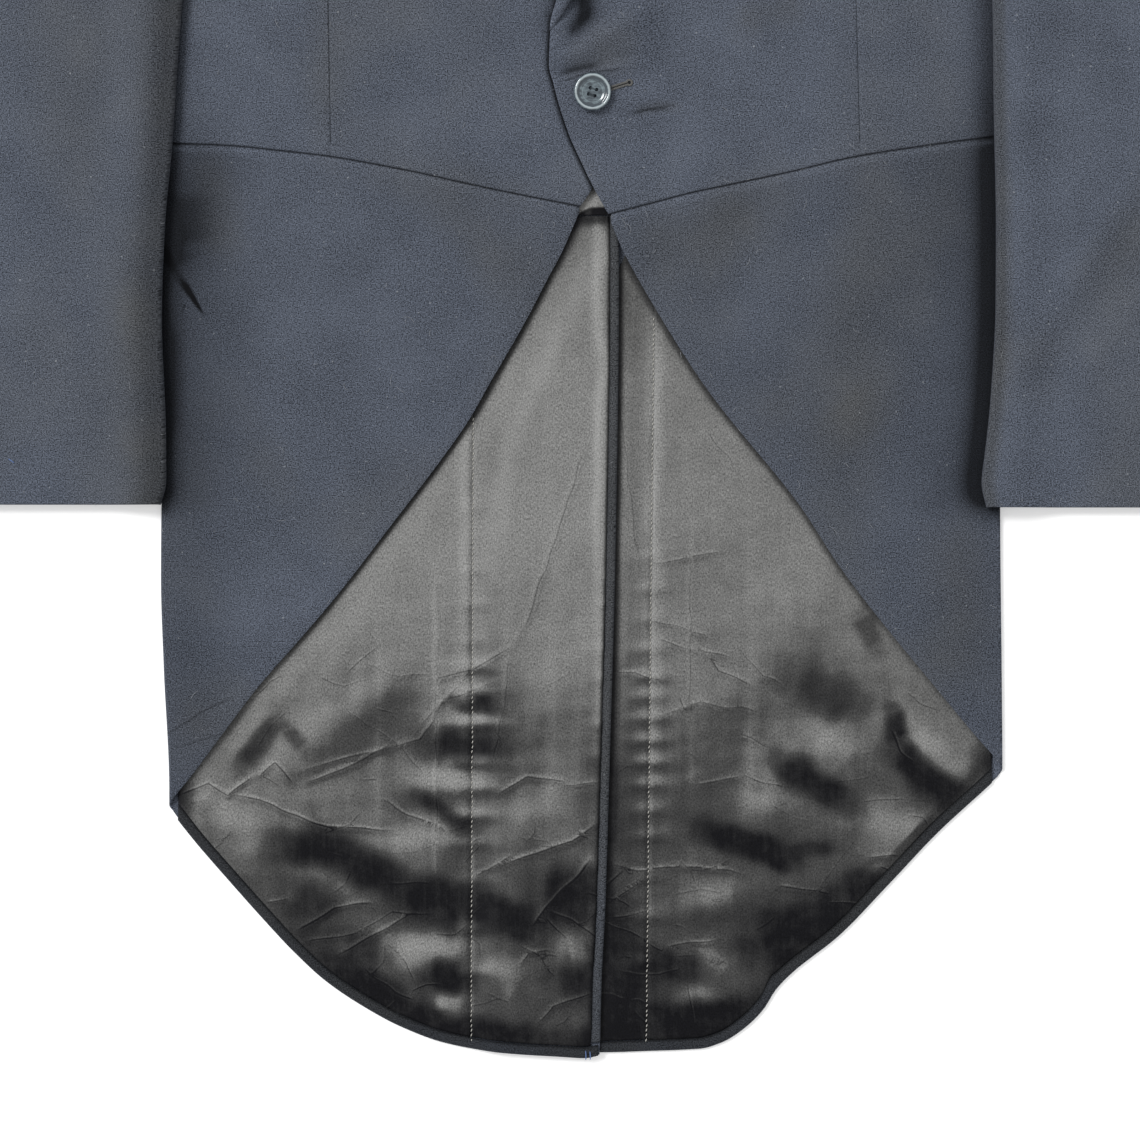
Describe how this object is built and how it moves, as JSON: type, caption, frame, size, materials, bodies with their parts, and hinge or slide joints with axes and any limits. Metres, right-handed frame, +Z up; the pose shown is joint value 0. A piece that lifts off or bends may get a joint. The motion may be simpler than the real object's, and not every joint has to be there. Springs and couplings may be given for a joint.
{
  "type": "morning coat laid flat",
  "caption": "Tailored morning coat lying flat on its back, fronts buttoned and cut away to long rounded tails with a centre vent and satin lining.",
  "frame": {"origin": "centre of the bounding box in plan, on the surface that the coat lies on", "axes": "+X towards the wearer's left, +Y from the tail hem to the collar, +Z up from the surface through the back to the fronts"},
  "size_m": [0.8098, 1, 0.0118],
  "materials": {
    "wool": "dark slate blue-grey worsted wool with a fine even nap",
    "satin": "warm grey satin lining with a soft sheen",
    "horn": "polished dark navy button"
  },
  "bodies": {
    "root": {"back_right": "wool", "back_left": "wool", "side_body_right": "wool", "side_body_left": "wool", "skirt_right": "wool", "skirt_left": "wool", "forepart_right": "wool", "forepart_left": "wool", "lapel_right": "wool", "lapel_left": "wool", "collar": "wool", "top_sleeve_right": "wool", "top_sleeve_left": "wool", "under_sleeve_right": "wool", "under_sleeve_left": "wool", "hem_turn_up_right": "wool", "hem_turn_up_left": "wool", "vent_turn_up": "wool", "lining_tail_right": "satin", "lining_tail_left": "satin", "lining_skirt_right": "satin", "lining_skirt_left": "satin", "lining_body": "satin", "front_button": "horn"}
  },
  "joints": []
}
